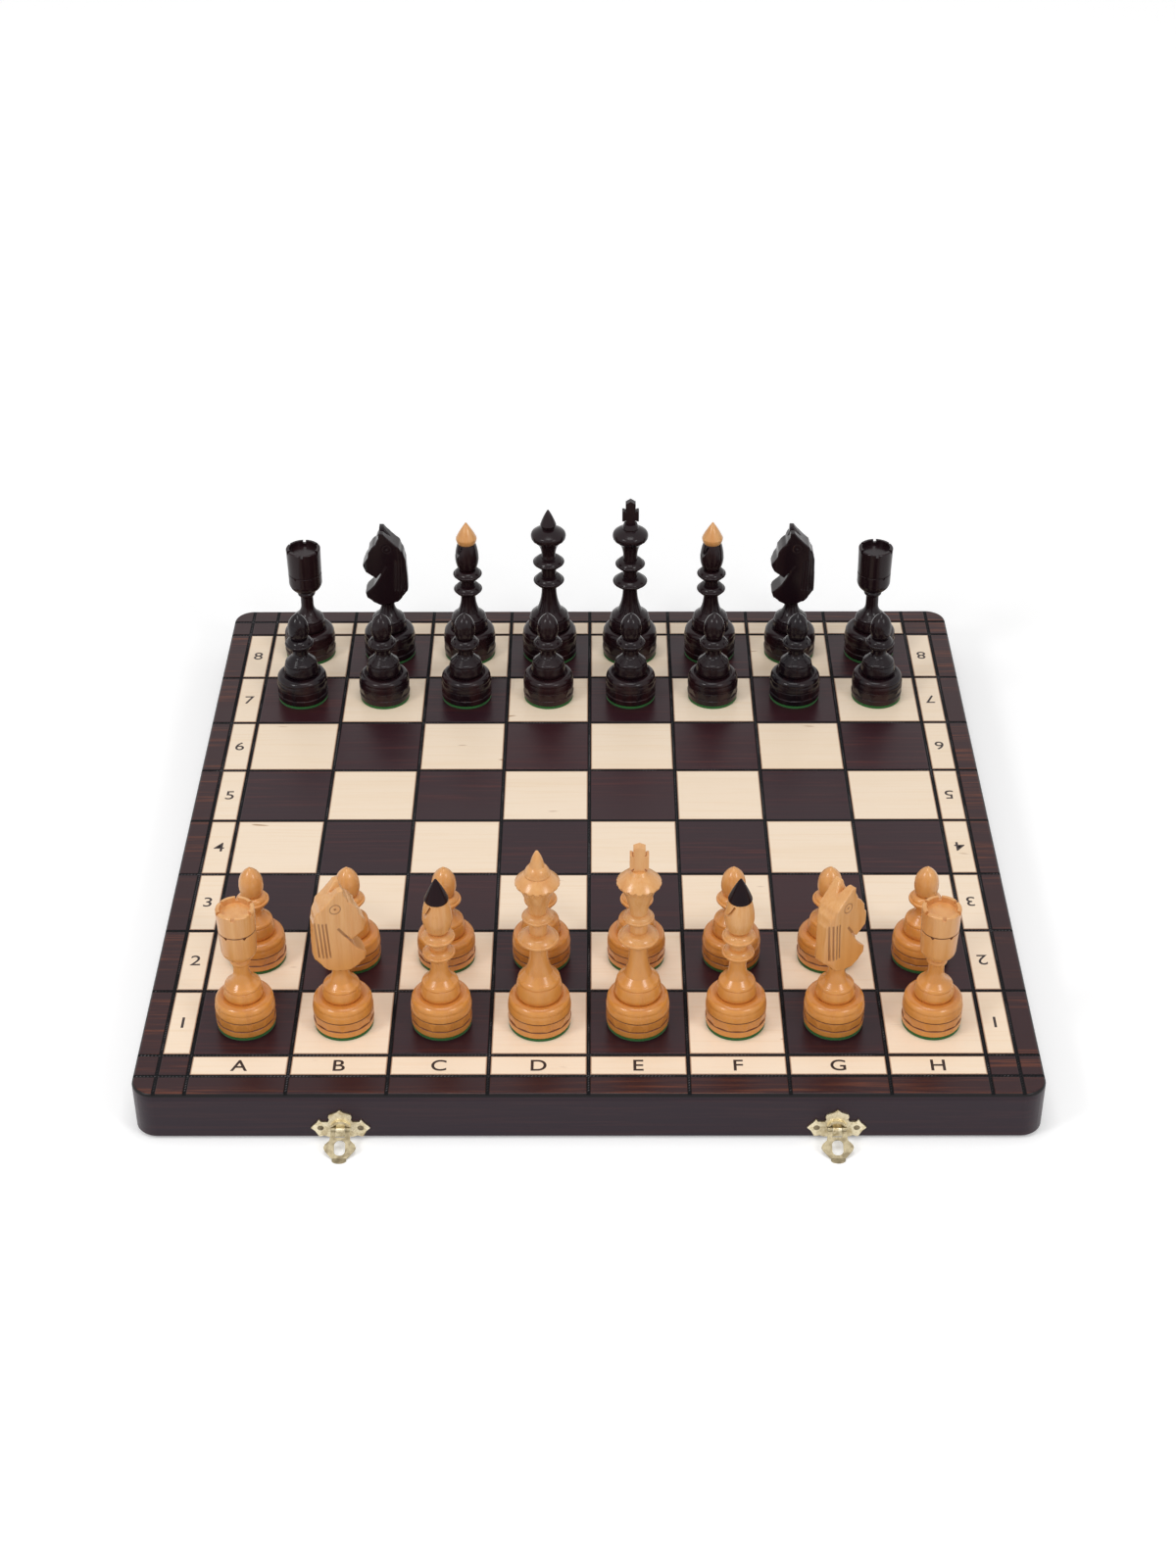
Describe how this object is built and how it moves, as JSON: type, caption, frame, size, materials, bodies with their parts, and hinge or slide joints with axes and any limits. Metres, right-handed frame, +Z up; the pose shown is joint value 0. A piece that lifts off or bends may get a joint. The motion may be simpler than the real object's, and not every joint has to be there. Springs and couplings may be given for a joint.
{
  "type": "folding chess set",
  "caption": "Folding wooden chess set: hinged board case with brass hook clasps and lift-off turned chessmen.",
  "frame": {"origin": "middle of the seam between the two half boxes, in the plane of the rims and on the fold's axis", "axes": "+X to the right of the white player's side seen from the clasps, +Y from the clasps to the rear, +Z up out of the playing surface"},
  "size_m": [0.528, 0.5571, 0.1652],
  "materials": {
    "board_top": "satin lacquer over light and dark squares",
    "case_wood": "dark stained, satin lacquer",
    "tray_wood": "plain matt wood",
    "lining_felt": "green felt",
    "light_chessman_wood": "satin lacquer, felt under the base",
    "dark_chessman_wood": "black stained, satin lacquer, felt under the base",
    "brass": "pale stamped brass",
    "steel_pin": "plain wire pin"
  },
  "bodies": {
    "front_half": {"front_playing_panel": "board_top", "front_clasp_rail": "case_wood", "front_seam_rail": "case_wood", "front_left_rail": "case_wood", "front_right_rail": "case_wood", "front_lining": "lining_felt", "front_dividers": "tray_wood", "front_hinge_leaves": "brass", "hinge_pins": "steel_pin", "clasp_plates": "brass", "clasp_pins": "steel_pin", "front_screws": "brass"},
    "rear_half": {"rear_playing_panel": "board_top", "rear_catch_rail": "case_wood", "rear_seam_rail": "case_wood", "rear_left_rail": "case_wood", "rear_right_rail": "case_wood", "rear_lining": "lining_felt", "rear_dividers": "tray_wood", "rear_hinge_leaves": "brass", "catch_plates": "brass", "rear_screws": "brass"},
    "left_hasp": {"left_hasp": "brass"},
    "right_hasp": {"right_hasp": "brass"},
    "black_bishop_c8": {"black_bishop_c8": "dark_chessman_wood", "black_bishop_c8_cap": "light_chessman_wood"},
    "black_bishop_f8": {"black_bishop_f8": "dark_chessman_wood", "black_bishop_f8_cap": "light_chessman_wood"},
    "black_king": {"black_king": "dark_chessman_wood"},
    "black_knight_b8": {"black_knight_b8": "dark_chessman_wood"},
    "black_knight_g8": {"black_knight_g8": "dark_chessman_wood"},
    "black_pawn_a7": {"black_pawn_a7": "dark_chessman_wood"},
    "black_pawn_b7": {"black_pawn_b7": "dark_chessman_wood"},
    "black_pawn_c7": {"black_pawn_c7": "dark_chessman_wood"},
    "black_pawn_d7": {"black_pawn_d7": "dark_chessman_wood"},
    "black_pawn_e7": {"black_pawn_e7": "dark_chessman_wood"},
    "black_pawn_f7": {"black_pawn_f7": "dark_chessman_wood"},
    "black_pawn_g7": {"black_pawn_g7": "dark_chessman_wood"},
    "black_pawn_h7": {"black_pawn_h7": "dark_chessman_wood"},
    "black_queen": {"black_queen": "dark_chessman_wood"},
    "black_rook_a8": {"black_rook_a8": "dark_chessman_wood"},
    "black_rook_h8": {"black_rook_h8": "dark_chessman_wood"},
    "white_bishop_c1": {"white_bishop_c1": "light_chessman_wood", "white_bishop_c1_cap": "dark_chessman_wood"},
    "white_bishop_f1": {"white_bishop_f1": "light_chessman_wood", "white_bishop_f1_cap": "dark_chessman_wood"},
    "white_king": {"white_king": "light_chessman_wood"},
    "white_knight_b1": {"white_knight_b1": "light_chessman_wood"},
    "white_knight_g1": {"white_knight_g1": "light_chessman_wood"},
    "white_pawn_a2": {"white_pawn_a2": "light_chessman_wood"},
    "white_pawn_b2": {"white_pawn_b2": "light_chessman_wood"},
    "white_pawn_c2": {"white_pawn_c2": "light_chessman_wood"},
    "white_pawn_d2": {"white_pawn_d2": "light_chessman_wood"},
    "white_pawn_e2": {"white_pawn_e2": "light_chessman_wood"},
    "white_pawn_f2": {"white_pawn_f2": "light_chessman_wood"},
    "white_pawn_g2": {"white_pawn_g2": "light_chessman_wood"},
    "white_pawn_h2": {"white_pawn_h2": "light_chessman_wood"},
    "white_queen": {"white_queen": "light_chessman_wood"},
    "white_rook_a1": {"white_rook_a1": "light_chessman_wood"},
    "white_rook_h1": {"white_rook_h1": "light_chessman_wood"}
  },
  "joints": [
    {"name": "fold", "type": "hinge", "parent": "front_half", "child": "rear_half", "pos_m": [0, 0, 0], "axis": [-1, 0, 0], "range_deg": [0, 180]},
    {"name": "left_hasp_swing", "type": "hinge", "parent": "front_half", "child": "left_hasp", "pos_m": [-0.1435, -0.2686, 0.008], "axis": [-1, 0, 0], "range_deg": [-59.64, 48]},
    {"name": "right_hasp_swing", "type": "hinge", "parent": "front_half", "child": "right_hasp", "pos_m": [0.1435, -0.2686, 0.008], "axis": [-1, 0, 0], "range_deg": [-59.64, 48]},
    {"name": "black_bishop_c8_lift", "type": "slide", "parent": "rear_half", "child": "black_bishop_c8", "axis": [0, 0, 1], "range_m": [0, 0.14]},
    {"name": "black_bishop_f8_lift", "type": "slide", "parent": "rear_half", "child": "black_bishop_f8", "axis": [0, 0, 1], "range_m": [0, 0.14]},
    {"name": "black_king_lift", "type": "slide", "parent": "rear_half", "child": "black_king", "axis": [0, 0, 1], "range_m": [0, 0.14]},
    {"name": "black_knight_b8_lift", "type": "slide", "parent": "rear_half", "child": "black_knight_b8", "axis": [0, 0, 1], "range_m": [0, 0.14]},
    {"name": "black_knight_g8_lift", "type": "slide", "parent": "rear_half", "child": "black_knight_g8", "axis": [0, 0, 1], "range_m": [0, 0.14]},
    {"name": "black_pawn_a7_lift", "type": "slide", "parent": "rear_half", "child": "black_pawn_a7", "axis": [0, 0, 1], "range_m": [0, 0.14]},
    {"name": "black_pawn_b7_lift", "type": "slide", "parent": "rear_half", "child": "black_pawn_b7", "axis": [0, 0, 1], "range_m": [0, 0.14]},
    {"name": "black_pawn_c7_lift", "type": "slide", "parent": "rear_half", "child": "black_pawn_c7", "axis": [0, 0, 1], "range_m": [0, 0.14]},
    {"name": "black_pawn_d7_lift", "type": "slide", "parent": "rear_half", "child": "black_pawn_d7", "axis": [0, 0, 1], "range_m": [0, 0.14]},
    {"name": "black_pawn_e7_lift", "type": "slide", "parent": "rear_half", "child": "black_pawn_e7", "axis": [0, 0, 1], "range_m": [0, 0.14]},
    {"name": "black_pawn_f7_lift", "type": "slide", "parent": "rear_half", "child": "black_pawn_f7", "axis": [0, 0, 1], "range_m": [0, 0.14]},
    {"name": "black_pawn_g7_lift", "type": "slide", "parent": "rear_half", "child": "black_pawn_g7", "axis": [0, 0, 1], "range_m": [0, 0.14]},
    {"name": "black_pawn_h7_lift", "type": "slide", "parent": "rear_half", "child": "black_pawn_h7", "axis": [0, 0, 1], "range_m": [0, 0.14]},
    {"name": "black_queen_lift", "type": "slide", "parent": "rear_half", "child": "black_queen", "axis": [0, 0, 1], "range_m": [0, 0.14]},
    {"name": "black_rook_a8_lift", "type": "slide", "parent": "rear_half", "child": "black_rook_a8", "axis": [0, 0, 1], "range_m": [0, 0.14]},
    {"name": "black_rook_h8_lift", "type": "slide", "parent": "rear_half", "child": "black_rook_h8", "axis": [0, 0, 1], "range_m": [0, 0.14]},
    {"name": "white_bishop_c1_lift", "type": "slide", "parent": "front_half", "child": "white_bishop_c1", "axis": [0, 0, 1], "range_m": [0, 0.14]},
    {"name": "white_bishop_f1_lift", "type": "slide", "parent": "front_half", "child": "white_bishop_f1", "axis": [0, 0, 1], "range_m": [0, 0.14]},
    {"name": "white_king_lift", "type": "slide", "parent": "front_half", "child": "white_king", "axis": [0, 0, 1], "range_m": [0, 0.14]},
    {"name": "white_knight_b1_lift", "type": "slide", "parent": "front_half", "child": "white_knight_b1", "axis": [0, 0, 1], "range_m": [0, 0.14]},
    {"name": "white_knight_g1_lift", "type": "slide", "parent": "front_half", "child": "white_knight_g1", "axis": [0, 0, 1], "range_m": [0, 0.14]},
    {"name": "white_pawn_a2_lift", "type": "slide", "parent": "front_half", "child": "white_pawn_a2", "axis": [0, 0, 1], "range_m": [0, 0.14]},
    {"name": "white_pawn_b2_lift", "type": "slide", "parent": "front_half", "child": "white_pawn_b2", "axis": [0, 0, 1], "range_m": [0, 0.14]},
    {"name": "white_pawn_c2_lift", "type": "slide", "parent": "front_half", "child": "white_pawn_c2", "axis": [0, 0, 1], "range_m": [0, 0.14]},
    {"name": "white_pawn_d2_lift", "type": "slide", "parent": "front_half", "child": "white_pawn_d2", "axis": [0, 0, 1], "range_m": [0, 0.14]},
    {"name": "white_pawn_e2_lift", "type": "slide", "parent": "front_half", "child": "white_pawn_e2", "axis": [0, 0, 1], "range_m": [0, 0.14]},
    {"name": "white_pawn_f2_lift", "type": "slide", "parent": "front_half", "child": "white_pawn_f2", "axis": [0, 0, 1], "range_m": [0, 0.14]},
    {"name": "white_pawn_g2_lift", "type": "slide", "parent": "front_half", "child": "white_pawn_g2", "axis": [0, 0, 1], "range_m": [0, 0.14]},
    {"name": "white_pawn_h2_lift", "type": "slide", "parent": "front_half", "child": "white_pawn_h2", "axis": [0, 0, 1], "range_m": [0, 0.14]},
    {"name": "white_queen_lift", "type": "slide", "parent": "front_half", "child": "white_queen", "axis": [0, 0, 1], "range_m": [0, 0.14]},
    {"name": "white_rook_a1_lift", "type": "slide", "parent": "front_half", "child": "white_rook_a1", "axis": [0, 0, 1], "range_m": [0, 0.14]},
    {"name": "white_rook_h1_lift", "type": "slide", "parent": "front_half", "child": "white_rook_h1", "axis": [0, 0, 1], "range_m": [0, 0.14]}
  ]
}
